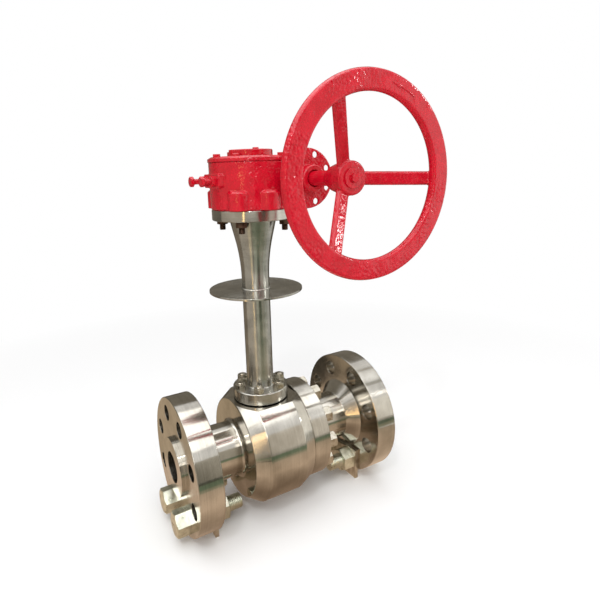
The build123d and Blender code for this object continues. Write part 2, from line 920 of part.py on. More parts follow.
# Cover, its gasket and bolts
cover_gasket = stem_ring(wheel_room_radius, housing_radius, housing_top_z, cover_bottom_z)
cover = stem_turned(
    (bush_radius + seat_gap, cover_bottom_z),
    (cover_radius, cover_bottom_z),
    (cover_radius, cover_bottom_z + cover_edge),
    (cover_radius - cover_slope, cover_top_z),
    (bush_radius + seat_gap, cover_top_z),
)
lug = Box(
    cover_lug_depth, cover_lug_width, cover_lug_height, align=(Align.CENTER, Align.CENTER, Align.MIN)
)
lug = chamfer(lug.faces().sort_by(Axis.Z)[-1].edges(), cover_lug_chamfer)
cover += Rot(0, 0, cover_lug_angle) * (Pos(cover_lug_radius, 0, cover_top_z) * lug)
cover_bolts = []
for x, y in cover_places:
    hole = rod((x, y, housing_top_z - 1), (0, 0, 1), cover_bolt_radius + hole_gap, cover_thickness + 4)
    cover_gasket -= hole
    cover -= hole
    shank_start = housing_top_z - cover_bolt_depth
    shank = rod((x, y, shank_start), (0, 0, 1), cover_bolt_radius, cover_top_z - shank_start)
    head = hexagon((x, y, cover_top_z), (0, 0, 1), cover_bolt_flats, cover_bolt_head)
    cover_bolts.append(shank + head)
save("cover_gasket", cover_gasket)
save("gear_cover", cover)
save("cover_bolts", group(cover_bolts))
journal_bore = wheel_journal_radius + journal_gap
save(
    "wheel_lower_bush",
    stem_ring(journal_bore, bush_radius, operator_face_z, housing_floor_z),
)
save("wheel_upper_bush", stem_ring(journal_bore, bush_radius, cover_bottom_z, cover_top_z))


# Worm wheel segment. Each tooth is straight sided and leans with the worm's lead.
def wheel_section(z, turn):
    pitch_half = (pi * gear_module / 2 - tooth_play) / 2
    lean = tan(radians(worm_flank_angle))
    tip_radius = wheel_pitch_radius + gear_module
    root_radius = wheel_pitch_radius - gear_module - worm_core_relief
    tip_half = pitch_half - gear_module * lean
    root_half = pitch_half + (gear_module + worm_core_relief) * lean
    points = []
    for number in range(wheel_teeth_all_round):
        middle = 2 * pi * (number + 0.5) / wheel_teeth_all_round + turn
        for radius, half in (
            (root_radius, -root_half),
            (tip_radius, -tip_half),
            (tip_radius, tip_half),
            (root_radius, root_half),
        ):
            angle = middle + half / radius
            points.append((radius * cos(angle), radius * sin(angle), z))
    return make_face(Polyline(*points, close=True))


lead_slope = worm_lead / (2 * pi * worm_pitch_radius)
section_turn = wheel_face_width / 2 * lead_slope / wheel_pitch_radius
toothed = loft(
    [
        wheel_section(worm_axis_z - wheel_face_width / 2, -section_turn),
        wheel_section(worm_axis_z + wheel_face_width / 2, section_turn),
    ],
    ruled=True,
)
# Two quarters of the rim are kept, up to the faces that meet the stop screws
room = 2 * wheel_room_radius
kept = Pos(-stop_face, 0, 0) * Box(room, room, room, align=(Align.MIN, Align.MIN, Align.CENTER))
kept += Pos(0, -stop_face, 0) * Box(room, room, room, align=(Align.MIN, Align.MIN, Align.CENTER))
segment = toothed & (Pos(0, 0, worm_axis_z) * kept)
wheel = segment + stem_turned(
    (0, operator_face_z),
    (wheel_journal_radius, operator_face_z),
    (wheel_journal_radius, wheel_hub_bottom),
    (wheel_hub_radius, wheel_hub_bottom),
    (wheel_hub_radius, wheel_hub_top),
    (wheel_journal_radius, wheel_hub_top),
    (wheel_journal_radius, cap_bottom_z),
    (0, cap_bottom_z),
)
wheel -= stem_ring(0, stem_radius + seat_gap, operator_face_z - 1, cap_bottom_z + 1)
wheel -= keyway
cap_screw_x, cap_screw_y = spread(1, cap_screw_offset, cap_screw_angle)[0]
cap_screw_hole_start = (cap_screw_x, cap_screw_y, cap_bottom_z + 1)
wheel -= rod(cap_screw_hole_start, (0, 0, -1), cap_screw_radius + thread_gap, cap_screw_depth + 1)
save("worm_wheel", wheel)
stem_key = Box(
    stem_key_size, stem_key_size, stem_key_length, align=(Align.MIN, Align.CENTER, Align.MIN)
)
save("stem_key", Pos(stem_radius - key_depth, 0, stem_key_bottom) * stem_key)

# Indicator cap on top of the wheel's hub, with the flat that shows the position
cap = stem_turned(
    (0, cap_bottom_z),
    (cap_radius, cap_bottom_z),
    (cap_radius, cap_top_z - cap_chamfer),
    (cap_radius - cap_chamfer, cap_top_z),
    (0, cap_top_z),
)
cap_cut = Box(cap_radius, 2 * cap_radius, 2 * cap_flat_depth, align=(Align.MIN, Align.CENTER, Align.CENTER))
cap -= Rot(0, 0, cap_flat_angle) * (Pos(cap_flat_reach, 0, cap_top_z) * cap_cut)
cap -= rod(
    (cap_screw_x, cap_screw_y, cap_bottom_z - 1), (0, 0, 1), cap_screw_radius + hole_gap, cap_height + 2
)
save("indicator_cap", cap)
cap_screw_start = cap_bottom_z - cap_screw_depth
cap_screw = rod(
    (cap_screw_x, cap_screw_y, cap_screw_start), (0, 0, 1), cap_screw_radius, cap_top_z - cap_screw_start
)
cap_screw += rod(
    (cap_screw_x, cap_screw_y, cap_top_z), (0, 0, 1), cap_screw_head_radius, cap_screw_head, cap_screw_chamfer
)
save("indicator_screw", cap_screw)


# Worm, a single right-hand thread on the input shaft
def worm_thread():
    pitch_half = (worm_lead / 2 - tooth_play) / 2
    lean = tan(radians(worm_flank_angle))
    tip_half = pitch_half - gear_module * lean
    sunk = worm_pitch_radius - worm_core_radius + thread_sink
    root_half = pitch_half + sunk * lean
    path = Helix(worm_lead, worm_length, worm_pitch_radius)
    section = Plane(path @ 0, x_dir=(1, 0, 0), z_dir=(0, -1, 0)) * make_face(
        Polyline(
            (-sunk, -root_half),
            (gear_module, -tip_half),
            (gear_module, tip_half),
            (-sunk, root_half),
            close=True,
        )
    )
    thread = sweep(section, path, is_frenet=True)
    return thread


journal_front = -worm_room_half + shaft_float
rear_bush_front = worm_case_rear - rear_bush_length
journal_rear = rear_bush_front - shaft_float
shaft = worm_turned(
    (shaft_end_y, 0),
    (shaft_end_y, shaft_end_radius),
    (hub_back_y, shaft_end_radius),
    (hub_back_y, worm_shaft_radius),
    (journal_front, worm_shaft_radius),
    (journal_front, worm_core_radius),
    (journal_rear, worm_core_radius),
    (journal_rear, rear_journal_radius),
    (worm_case_rear - shaft_end_room, rear_journal_radius),
    (worm_case_rear - shaft_end_room, 0),
)
# The helix is wound about Z from its foot, so it is centred and laid along Y. It is
# first turned so that its crest faces a tooth gap of the wheel at rest.
thread_phase = 180 - 360 * (worm_length / 2) / worm_lead
thread = Pos(0, 0, -worm_length / 2) * Rot(0, 0, thread_phase) * worm_thread()
thread = Rot(-90, 0, 0) * thread
thread = Pos(worm_axis_x, 0, worm_axis_z) * thread
shaft += thread
wheel_keyway = Box(wheel_key_size + 2 * key_clearance, wheel_key_length + 2 * key_clearance, wheel_key_size)
key_middle_y = hub_back_y - wheel_key_inset - wheel_key_length / 2
key_low_z = worm_axis_z + shaft_end_radius - wheel_key_size / 2
wheel_keyway = Pos(worm_axis_x, key_middle_y, key_low_z + wheel_key_size / 2) * wheel_keyway
shaft -= wheel_keyway
washer_front = hub_front_y - wheel_washer_thickness
screw_tip_y = washer_front + wheel_screw_length
shaft -= worm_ring(0, wheel_screw_radius + thread_gap, shaft_end_y - 1, screw_tip_y + 1)
save("worm_shaft", shaft)
save(
    "worm_front_bush",
    worm_ring(
        worm_shaft_radius + journal_gap,
        front_bush_radius - seat_gap,
        front_bush_face,
        -worm_room_half,
    ),
)
save(
    "worm_rear_bush",
    worm_ring(
        rear_journal_radius + journal_gap, worm_room_radius - seat_gap, rear_bush_front, worm_case_rear
    ),
)
save(
    "shaft_seal",
    worm_ring(worm_shaft_radius + journal_gap, seal_radius - seat_gap, seal_face, front_bush_face),
)
rear_cap = worm_ring(0, rear_cap_radius, worm_case_rear, worm_case_rear + rear_cap_thickness)
rear_screws = []
for across, up in rear_places:
    x, z = worm_axis_x + across, worm_axis_z + up
    rear_cap -= rod(
        (x, worm_case_rear - 1, z), (0, 1, 0), rear_screw_radius + hole_gap, rear_cap_thickness + 2
    )
    cap_outer = worm_case_rear + rear_cap_thickness
    shank = rod((x, cap_outer, z), (0, -1, 0), rear_screw_radius, rear_cap_thickness + rear_screw_depth)
    head = hexagon((x, cap_outer, z), (0, 1, 0), rear_screw_flats, rear_screw_head)
    rear_screws.append(shank + head)
save("rear_cap", rear_cap)
save("rear_cap_screws", group(rear_screws))

# Stop screws and their lock nuts, on the side away from the worm
stop_screws = []
stop_nuts = []
for y, head_x in ((stop_half, open_stop_head_x), (-stop_half, closed_stop_head_x)):
    tip_x = -stop_face - stop_gap
    shank = rod((head_x, y, worm_axis_z), (1, 0, 0), stop_screw_radius, tip_x - head_x, stud_chamfer)
    head = hexagon((head_x, y, worm_axis_z), (-1, 0, 0), stop_screw_flats, stop_head_height)
    stop_screws.append(shank + head)
    stop_nuts.append(
        hexagon(
            (stop_pad_x, y, worm_axis_z),
            (-1, 0, 0),
            stop_screw_flats,
            stop_nut_height,
            stop_screw_radius + thread_gap,
        )
    )
save("stop_screws", group(stop_screws))
save("stop_nuts", group(stop_nuts))

# Handwheel: hub, a rim with a flat front and round back, and spokes that lean forward
def flat_front_section(plane, face_width, width, side_depth, depth, edge_fillet):
    # Drawn with its flat face on the plane's X axis and its round back along +Y
    half = width / 2
    outline = [
        Line((-face_width / 2, 0), (face_width / 2, 0)),
        Line((face_width / 2, 0), (half, side_depth)),
        EllipticalCenterArc((0, side_depth), half, depth - side_depth, arc_size=180),
        Line((-half, side_depth), (-face_width / 2, 0)),
    ]
    section = make_face(outline)
    corners = section.vertices().group_by(Axis.Y)[0]
    return plane * fillet(corners, edge_fillet)


hub_front_start = hub_front_y + hub_front_length
hub_waist_start = hub_front_start + hub_waist_length
handwheel = worm_turned(
    (hub_front_y, 0),
    (hub_front_y, hub_radius - hub_chamfer),
    (hub_front_y + hub_chamfer, hub_radius),
    (hub_front_start, hub_radius),
    (hub_waist_start, hub_waist_radius),
    (hub_back_y, hub_back_radius),
    (hub_back_y, 0),
)
rim_plane = Plane(
    origin=(worm_axis_x + rim_middle_radius, wheel_front_y, worm_axis_z), x_dir=(1, 0, 0), z_dir=(0, 0, 1)
)
rim_section = flat_front_section(
    rim_plane, rim_face_width, rim_width, rim_side_depth, rim_depth, rim_edge_fillet
)
rim = revolve(rim_section, Axis((worm_axis_x, 0, worm_axis_z), (0, 1, 0)))
for spoke_angle in spoke_angles:
    angle = radians(spoke_angle)
    outward = Vector(cos(angle), 0, sin(angle))
    centre = Vector(worm_axis_x, 0, worm_axis_z)
    root = centre + Vector(0, spoke_root_y, 0)
    end = centre + outward * rim_middle_radius + Vector(0, wheel_front_y + spoke_end_drop, 0)
    along = (end - root).normalized()
    # The section's round back lies on its plane's +Y, which this makes the rear side
    sideways = Vector(sin(angle), 0, -cos(angle))
    section_plane = Plane(origin=root, x_dir=sideways, z_dir=along)
    section = flat_front_section(
        section_plane, spoke_face_width, spoke_width, spoke_side_depth, spoke_depth, spoke_edge_fillet
    )
    handwheel += extrude(section, (end - root).length)
handwheel -= worm_ring(0, rim_middle_radius + rim_width, 2 * wheel_front_y, wheel_front_y)
handwheel += rim
handwheel -= worm_ring(0, wheel_washer_radius + hole_gap, wheel_front_y, hub_front_y)
handwheel -= worm_ring(0, shaft_end_radius + seat_gap, wheel_front_y, hub_back_y + 1)
handwheel -= wheel_keyway
save("handwheel", handwheel)
wheel_key = Box(wheel_key_size, wheel_key_length, wheel_key_size - key_clearance)
wheel_key = Pos(worm_axis_x, key_middle_y, key_low_z + wheel_key_size / 2) * wheel_key
save("handwheel_key", wheel_key)
save(
    "handwheel_washer",
    worm_ring(wheel_screw_radius + hole_gap, wheel_washer_radius, washer_front, hub_front_y),
)
wheel_screw = rod(
    (worm_axis_x, washer_front, worm_axis_z), (0, 1, 0), wheel_screw_radius, wheel_screw_length, stud_chamfer
)
wheel_screw += hexagon(
    (worm_axis_x, washer_front, worm_axis_z), (0, -1, 0), wheel_screw_flats, wheel_screw_head
)
save("handwheel_screw", wheel_screw)

# Foot plates behind the two lowest bolt holes of each flange
for name, face, back, inward in (
    ("inlet", inlet_face_x, inlet_back_x, 1),
    ("outlet", outlet_face_x, outlet_back_x, -1),
):
    plate = Box(
        foot_thickness,
        2 * foot_half_width,
        foot_top_z - foot_bottom_z,
        align=(Align.CENTER, Align.CENTER, Align.MIN),
    )
    plate = Pos(back + inward * foot_thickness / 2, 0, foot_bottom_z) * plate
    plate -= pipe_ring(0, flange_hub_radius + foot_hub_room, back - 10, back + 10)
    for y, z in foot_places:
        plate -= rod(
            (back - inward, y, z), (inward, 0, 0), flange_hole_radius + foot_hole_room, foot_thickness + 2
        )
    save(f"{name}_foot", plate)
    bolts = []
    nuts = []
    for y, z in foot_places:
        shank = rod((face, y, z), (inward, 0, 0), foot_bolt_radius, foot_bolt_length, stud_chamfer * 2)
        bolts.append(shank + hexagon((face, y, z), (-inward, 0, 0), foot_bolt_flats, foot_bolt_head))
        nut_start = (back + inward * foot_thickness, y, z)
        nuts.append(
            hexagon(
                nut_start,
                (inward, 0, 0),
                foot_bolt_flats,
                foot_nut_height,
                foot_bolt_radius + thread_gap,
            )
        )
    save(f"{name}_foot_bolts", group(bolts))
    save(f"{name}_foot_nuts", group(nuts))
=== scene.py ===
import bpy
import json
import math
from mathutils import Matrix, Vector


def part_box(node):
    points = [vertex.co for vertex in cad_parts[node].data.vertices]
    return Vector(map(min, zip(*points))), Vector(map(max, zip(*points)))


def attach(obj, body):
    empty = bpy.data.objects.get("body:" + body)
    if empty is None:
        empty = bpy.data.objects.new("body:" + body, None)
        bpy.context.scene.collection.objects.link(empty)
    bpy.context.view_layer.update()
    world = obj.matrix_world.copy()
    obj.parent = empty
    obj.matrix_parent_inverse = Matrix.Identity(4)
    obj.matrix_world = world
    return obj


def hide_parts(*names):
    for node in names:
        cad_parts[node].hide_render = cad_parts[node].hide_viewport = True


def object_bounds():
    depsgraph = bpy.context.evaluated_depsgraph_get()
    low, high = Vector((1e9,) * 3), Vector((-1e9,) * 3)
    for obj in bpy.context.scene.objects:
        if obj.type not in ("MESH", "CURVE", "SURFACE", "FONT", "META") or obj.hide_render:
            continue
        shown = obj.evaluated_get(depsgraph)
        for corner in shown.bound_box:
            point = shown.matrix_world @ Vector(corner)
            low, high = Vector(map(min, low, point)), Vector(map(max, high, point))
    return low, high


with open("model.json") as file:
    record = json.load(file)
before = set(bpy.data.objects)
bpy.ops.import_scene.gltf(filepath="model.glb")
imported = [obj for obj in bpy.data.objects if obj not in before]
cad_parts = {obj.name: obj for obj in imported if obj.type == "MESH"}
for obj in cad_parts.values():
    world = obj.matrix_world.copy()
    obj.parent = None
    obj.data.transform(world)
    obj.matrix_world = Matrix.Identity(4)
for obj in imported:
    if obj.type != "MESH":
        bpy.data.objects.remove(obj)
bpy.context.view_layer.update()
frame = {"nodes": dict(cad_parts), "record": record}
mm = 0.001


def linearColour(hexValue):
    # sRGB hex to the linear values that Blender's sockets take
    parts = [int(hexValue[i:i + 2], 16) / 255 for i in (1, 3, 5)]
    return [p / 12.92 if p <= 0.04045 else ((p + 0.055) / 1.055) ** 2.4 for p in parts] + [1]


def addNode(tree, kind, settings=None, links=None):
    # settings with a socket's name or number go to the socket, the others to the node
    node = tree.nodes.new(kind)
    for key, value in (settings or {}).items():
        if isinstance(key, int) or key in node.inputs:
            node.inputs[key].default_value = value
        else:
            setattr(node, key, value)
    for key, source in (links or {}).items():
        tree.links.new(source, node.inputs[key])
    return node


def newMaterial(name):
    material = bpy.data.materials.new(name)
    material.use_nodes = True
    tree = material.node_tree
    tree.nodes.clear()
    return material, tree


# camera at the photograph's viewing angle
photoView = {
    "azimuth": -29.57, "elevation": 12.19, "roll": -1.82,   # degrees
    "distance": 0.78416,                                    # metres, camera to target
    "target": (0.05525, 0.0, 0.27978),
    "focalPixels": 474.89, "principal": (285.58, 273.63),   # in the 600 pixel frame
    "frame": 600, "sensor": 36.0, "nearest": 0.01,          # pixels, millimetres, metres
}


def makeCamera(v):
    az, el, roll = (math.radians(v[k]) for k in ("azimuth", "elevation", "roll"))
    forward = Vector((-math.sin(az) * math.cos(el), math.cos(az) * math.cos(el), -math.sin(el)))
    right = Vector((math.cos(az), math.sin(az), 0))
    up = right.cross(forward)
    tiltedRight = right * math.cos(roll) + up * math.sin(roll)
    tiltedUp = up * math.cos(roll) - right * math.sin(roll)
    data = bpy.data.cameras.new("photoCamera")
    data.sensor_width = v["sensor"]
    data.lens = v["focalPixels"] * v["sensor"] / v["frame"]
    data.shift_x = (v["frame"] / 2 - v["principal"][0]) / v["frame"]
    data.shift_y = (v["principal"][1] - v["frame"] / 2) / v["frame"]
    data.clip_start = v["nearest"]
    camera = bpy.data.objects.new("photoCamera", data)
    turn = Matrix((tiltedRight, tiltedUp, -forward)).transposed()
    place = Vector(v["target"]) - forward * v["distance"]
    camera.matrix_world = Matrix.Translation(place) @ turn.to_4x4()
    bpy.context.scene.collection.objects.link(camera)
    bpy.context.scene.camera = camera


makeCamera(photoView)
print("camera placed")

# a noise stays mostly between these values, so they are spread over the whole range
noiseSpan = {"From Min": 0.35, "From Max": 0.65}
wideNoiseSpan = {"From Min": 0.3, "From Max": 0.7}
# the Mix node has several sockets of each name, so its colours go by number
colourA, colourB, mixedColour = 6, 7, 2


def sandCastEnamel(name, m):
    # gloss red enamel brushed thick over sand cast iron: the eye gets a wet shine
    # broken up by the lumps of the casting underneath and the peel of the paint
    material, tree = newMaterial(name)
    where = addNode(tree, "ShaderNodeTexCoord").outputs["Object"]
    lumps = addNode(tree, "ShaderNodeTexNoise", {"Scale": 1 / (m["lumpMm"] * mm), "Detail": 0.5},
                    {"Vector": where})
    peel = addNode(tree, "ShaderNodeTexNoise", {"Scale": 1 / (m["peelMm"] * mm), "Detail": 0.5,
                                                "Roughness": 0.4}, {"Vector": where})
    thick = addNode(tree, "ShaderNodeTexNoise", {"Scale": 1 / (m["patchMm"] * mm), "Detail": 1.0},
                    {"Vector": where})
    shade = addNode(tree, "ShaderNodeMapRange", noiseSpan, {"Value": lumps.outputs["Fac"]})
    colour = addNode(tree, "ShaderNodeMix", {"data_type": "RGBA", colourA: linearColour(m["deep"]),
                                             colourB: linearColour(m["red"])},
                     {"Factor": shade.outputs["Result"]})
    lumpy = addNode(tree, "ShaderNodeBump", {"Strength": 1.0, "Distance": m["lumpDepthMm"] * mm},
                    {"Height": lumps.outputs["Fac"]})
    if m["edgeMm"]:   # the castings have soft edges of their own
        rounded = addNode(tree, "ShaderNodeBevel", {"samples": 4, "Radius": m["edgeMm"] * mm})
        tree.links.new(rounded.outputs["Normal"], lumpy.inputs["Normal"])
    # the peel fades to a share of its depth where the paint lies thin
    sags = addNode(tree, "ShaderNodeMapRange", {"From Min": m["thinBelow"], "From Max": m["thickAbove"],
                                                "To Min": m["thinShare"]}, {"Value": thick.outputs["Fac"]})
    skin = addNode(tree, "ShaderNodeMath", {"operation": "MULTIPLY"},
                   {0: peel.outputs["Fac"], 1: sags.outputs["Result"]})
    bump = addNode(tree, "ShaderNodeBump", {"Strength": 1.0, "Distance": m["peelDepthMm"] * mm},
                   {"Height": skin.outputs["Value"], "Normal": lumpy.outputs["Normal"]})
    gloss = addNode(tree, "ShaderNodeMapRange", {**wideNoiseSpan, "To Min": m["smooth"], "To Max": m["dull"]},
                    {"Value": lumps.outputs["Fac"]})
    shader = addNode(tree, "ShaderNodeBsdfPrincipled", {"IOR": 1.5},
                     {"Base Color": colour.outputs[mixedColour], "Roughness": gloss.outputs["Result"],
                      "Normal": bump.outputs["Normal"]})
    addNode(tree, "ShaderNodeOutputMaterial", {}, {"Surface": shader.outputs[0]})
    return material


def turnedSteel(name, m):
    # stainless steel off a lathe: fine rings round the axis pull each reflection
    # out into a band along it, with stains of handling over them
    material, tree = newMaterial(name)
    where = addNode(tree, "ShaderNodeTexCoord").outputs["Object"]
    along = addNode(tree, "ShaderNodeSeparateXYZ", {}, {"Vector": where})
    across = (0, 1, 1) if m["axis"] == "X" else (1, 1, 0)
    flat = addNode(tree, "ShaderNodeVectorMath", {"operation": "MULTIPLY", 1: across}, {0: where})
    reach = addNode(tree, "ShaderNodeVectorMath", {"operation": "LENGTH"}, {0: flat.outputs["Vector"]})
    ringPlace = addNode(tree, "ShaderNodeCombineXYZ", {},
                        {"X": along.outputs[m["axis"]], "Y": reach.outputs["Value"]})
    rings = addNode(tree, "ShaderNodeTexNoise", {"noise_dimensions": "2D", "Scale": 1 / (m["feedMm"] * mm),
                                                 "Detail": 3.0, "Roughness": 0.7},
                    {"Vector": ringPlace.outputs["Vector"]})
    stains = addNode(tree, "ShaderNodeTexNoise", {"Scale": 1 / (m["stainMm"] * mm), "Detail": 4.0},
                     {"Vector": where})
    tone = addNode(tree, "ShaderNodeMath", {"operation": "MULTIPLY_ADD", 1: m["ringShare"]},
                   {0: rings.outputs["Fac"], 2: stains.outputs["Fac"]})
    spread = addNode(tree, "ShaderNodeMapRange", {"From Min": m["darkBelow"], "From Max": m["paleAbove"]},
                     {"Value": tone.outputs["Value"]})
    colour = addNode(tree, "ShaderNodeMix", {"data_type": "RGBA", colourA: linearColour(m["dark"]),
                                             colourB: linearColour(m["pale"])},
                     {"Factor": spread.outputs["Result"]})
    rough = addNode(tree, "ShaderNodeMapRange", {**wideNoiseSpan, "To Min": m["smooth"], "To Max": m["dull"]},
                    {"Value": stains.outputs["Fac"]})
    rounded = addNode(tree, "ShaderNodeBevel", {"samples": 4, "Radius": m["edgeMm"] * mm})
    bump = addNode(tree, "ShaderNodeBump", {"Strength": 1.0, "Distance": m["grooveMm"] * mm},
                   {"Height": rings.outputs["Fac"], "Normal": rounded.outputs["Normal"]})
    tangent = addNode(tree, "ShaderNodeTangent", {"direction_type": "RADIAL", "axis": m["axis"]})
    shader = addNode(tree, "ShaderNodeBsdfPrincipled", {"Metallic": 1.0, "Anisotropic": m["drag"],
                                                        "Anisotropic Rotation": m["dragTurn"]},
                     {"Base Color": colour.outputs[mixedColour], "Roughness": rough.outputs["Result"],
                      "Normal": bump.outputs["Normal"], "Tangent": tangent.outputs["Tangent"]})
    addNode(tree, "ShaderNodeOutputMaterial", {}, {"Surface": shader.outputs[0]})
    return material


def plainMetal(name, m, edgeMm=0.35):
    # bare, plated or blackened metal with no lay: faint blotches of oil and handling
    material, tree = newMaterial(name)
    where = addNode(tree, "ShaderNodeTexCoord").outputs["Object"]
    blotch = addNode(tree, "ShaderNodeTexNoise", {"Scale": 1 / (m["blotchMm"] * mm), "Detail": 5.0},
                     {"Vector": where})
    spread = addNode(tree, "ShaderNodeMapRange", noiseSpan, {"Value": blotch.outputs["Fac"]})
    colour = addNode(tree, "ShaderNodeMix", {"data_type": "RGBA", colourA: linearColour(m["dark"]),
                                             colourB: linearColour(m["pale"])},
                     {"Factor": spread.outputs["Result"]})
    rough = addNode(tree, "ShaderNodeMapRange", {**wideNoiseSpan, "To Min": m["smooth"], "To Max": m["dull"]},
                    {"Value": blotch.outputs["Fac"]})
    rounded = addNode(tree, "ShaderNodeBevel", {"samples": 4, "Radius": edgeMm * mm})
    bump = addNode(tree, "ShaderNodeBump", {"Strength": 1.0, "Distance": m["grainMm"] * mm},
                   {"Height": blotch.outputs["Fac"], "Normal": rounded.outputs["Normal"]})
    shader = addNode(tree, "ShaderNodeBsdfPrincipled", {"Metallic": 1.0},
                     {"Base Color": colour.outputs[mixedColour], "Roughness": rough.outputs["Result"],
                      "Normal": bump.outputs["Normal"]})
    addNode(tree, "ShaderNodeOutputMaterial", {}, {"Surface": shader.outputs[0]})
    return material


def softMaterial(name, m, mottleDepthMm=0.02):
    # moulded rubber, fluoropolymer or pressed graphite: no metal in it, a faint mottle
    material, tree = newMaterial(name)
    where = addNode(tree, "ShaderNodeTexCoord").outputs["Object"]
    mottle = addNode(tree, "ShaderNodeTexNoise", {"Scale": 1 / (m["mottleMm"] * mm), "Detail": 4.0},
                     {"Vector": where})
    colour = addNode(tree, "ShaderNodeMix", {"data_type": "RGBA", colourA: linearColour(m["dark"]),
                                             colourB: linearColour(m["pale"])},
                     {"Factor": mottle.outputs["Fac"]})
    bump = addNode(tree, "ShaderNodeBump", {"Strength": 1.0, "Distance": mottleDepthMm * mm},
                   {"Height": mottle.outputs["Fac"]})
    shader = addNode(tree, "ShaderNodeBsdfPrincipled", {"Roughness": m["roughness"], "IOR": m["ior"]},
                     {"Base Color": colour.outputs[mixedColour], "Normal": bump.outputs["Normal"]})
    addNode(tree, "ShaderNodeOutputMaterial", {}, {"Surface": shader.outputs[0]})
    return material


# stainless bar, finish turned: feed marks are 0.2 mm apart on it and drawn as coarse as they show
turnedPipe = {
    "axis": "X", "pale": "#CCC8BF", "dark": "#A6A197", "edgeMm": 1.0,
    "feedMm": 1.1, "grooveMm": 0.013, "stainMm": 45,
    "ringShare": 0.35, "darkBelow": 0.45, "paleAbove": 0.85,   # how rings and stains make the tone
    "smooth": 0.11, "dull": 0.18, "drag": 0.85, "dragTurn": 0.25,   # how far and which way it streaks
}
# the column is the same steel, turned duller, so it mirrors in softer streaks
turnedStem = dict(turnedPipe, axis="Z", pale="#C3C1BA", dark="#A1A09A", smooth=0.17, dull=0.27, stainMm=30)
# gloss enamel laid on by brush, which sags in patches
thickEnamel = {
    "red": "#CA0D26", "deep": "#BF0B22", "edgeMm": 0.8,
    "lumpMm": 12, "lumpDepthMm": 0.8, "peelMm": 3.4, "peelDepthMm": 1.1,
    "patchMm": 50, "thinBelow": 0.46, "thickAbove": 0.6, "thinShare": 0.3,
    "smooth": 0.08, "dull": 0.15,
}
# the same enamel on a turned shaft, which has no casting lumps under it
enamelOverSteel = dict(thickEnamel, lumpDepthMm=0.2, peelDepthMm=0.1)
polishedBall = {   # stainless, lapped until it mirrors
    "pale": "#D6D4D0", "dark": "#CBC9C4", "blotchMm": 40, "smooth": 0.05, "dull": 0.08, "grainMm": 0.0,
}
satinBolting = {   # stainless studs and nuts, bright but not mirroring
    "pale": "#C4BFB2", "dark": "#9E988A", "blotchMm": 7, "smooth": 0.2, "dull": 0.36, "grainMm": 0.05,
}
blackBolting = {   # blackened steel, brown where its oil has dried
    "pale": "#6B574A", "dark": "#3C2C24", "blotchMm": 6, "smooth": 0.35, "dull": 0.5, "grainMm": 0.08,
}
zincBolting = {   # zinc plated steel, with the faint green and yellow of its last bath
    "pale": "#E6E8DA", "dark": "#C9CCBC", "blotchMm": 9, "smooth": 0.26, "dull": 0.38, "grainMm": 0.06,
}
sawnPlate = {   # steel plate, sawn and deburred, which blurs what it mirrors
    "pale": "#D2CCBF", "dark": "#A79F90", "blotchMm": 12, "smooth": 0.3, "dull": 0.45, "grainMm": 0.08,
}
millingIron = {   # ductile iron off the mill, dark grey with a soft shine
    "pale": "#8E8D8B", "dark": "#6C6B69", "blotchMm": 8, "smooth": 0.4, "dull": 0.55, "grainMm": 0.1,
}
bearingBronze = {   # tin bronze, bored and turned, warm and satin
    "pale": "#C79A5A", "dark": "#A87C42", "blotchMm": 10, "smooth": 0.25, "dull": 0.4, "grainMm": 0.03,
}
pressedGraphite = {   # flakes pressed into rings, nearly black with a grey sheen
    "pale": "#3A3A3C", "dark": "#232325", "mottleMm": 2, "roughness": 0.5, "ior": 1.6,
}
fluoropolymer = {   # machined from sintered rod, waxy white
    "pale": "#EFEDE4", "dark": "#E2DFD4", "mottleMm": 12, "roughness": 0.35, "ior": 1.38,
}
nitrileRubber = {   # moulded, matt black
    "pale": "#1E1E1E", "dark": "#141414", "mottleMm": 3, "roughness": 0.55, "ior": 1.52,
}
finishes = {
    "red_paint": sandCastEnamel("sandCastEnamel", thickEnamel),
    "casting": sandCastEnamel("castingEnamel", dict(thickEnamel, edgeMm=0)),   # for the softened castings
    "shaft_paint": sandCastEnamel("enamelOverTurnedSteel", enamelOverSteel),
    "turned_steel": turnedSteel("turnedStainless", turnedPipe),
    "bonnet_steel": turnedSteel("turnedStainlessDull", turnedStem),
    "inner_steel": turnedSteel("groundStainless", dict(turnedPipe, feedMm=0.7, smooth=0.2, dull=0.3)),
    "polished_steel": plainMetal("polishedBall", polishedBall),
    "bolting": plainMetal("satinBolting", satinBolting),
    "dark_bolting": plainMetal("oiledBlackBolting", blackBolting),
    "zinc_bolting": plainMetal("zincPlatedBolting", zincBolting),
    "foot_steel": plainMetal("sawnPlate", sawnPlate),
    "wheel_iron": plainMetal("millingIron", millingIron),
    "bronze": plainMetal("bearingBronze", bearingBronze),
    "graphite": softMaterial("pressedGraphite", pressedGraphite),
    "seat_plastic": softMaterial("fluoropolymerSeat", fluoropolymer),
    "seal_rubber": softMaterial("nitrileRubber", nitrileRubber),
}
paintedOver = ("cover_gasket",)   # its edge went under the housing's brush
for part in frame["record"]["subparts"]:
    slot = "red_paint" if part["node"] in paintedOver else part["material_slot"]
    mesh = frame["nodes"][part["node"]].data
    mesh.materials.clear()
    mesh.materials.append(finishes[slot])
print("finishes given")


def newPiece(name, mesh, slot, body, replaced=(), finish=None):
    piece = bpy.data.objects.new(name, mesh)
    bpy.context.scene.collection.objects.link(piece)
    mesh.materials.clear()
    mesh.materials.append(finishes[finish or slot])
    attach(piece, body)
    if replaced:
        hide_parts(*replaced)


# castings: the CAD shape with the soft corners that a sand mould and thick paint give it
castings = {   # node: name, body, voxel in mm, rounds of smoothing
    "gear_housing": ("castHousing", "valve_body", 0.7, 2),
    "handwheel": ("castHandwheel", "handwheel_unit", 0.9, 5),
}


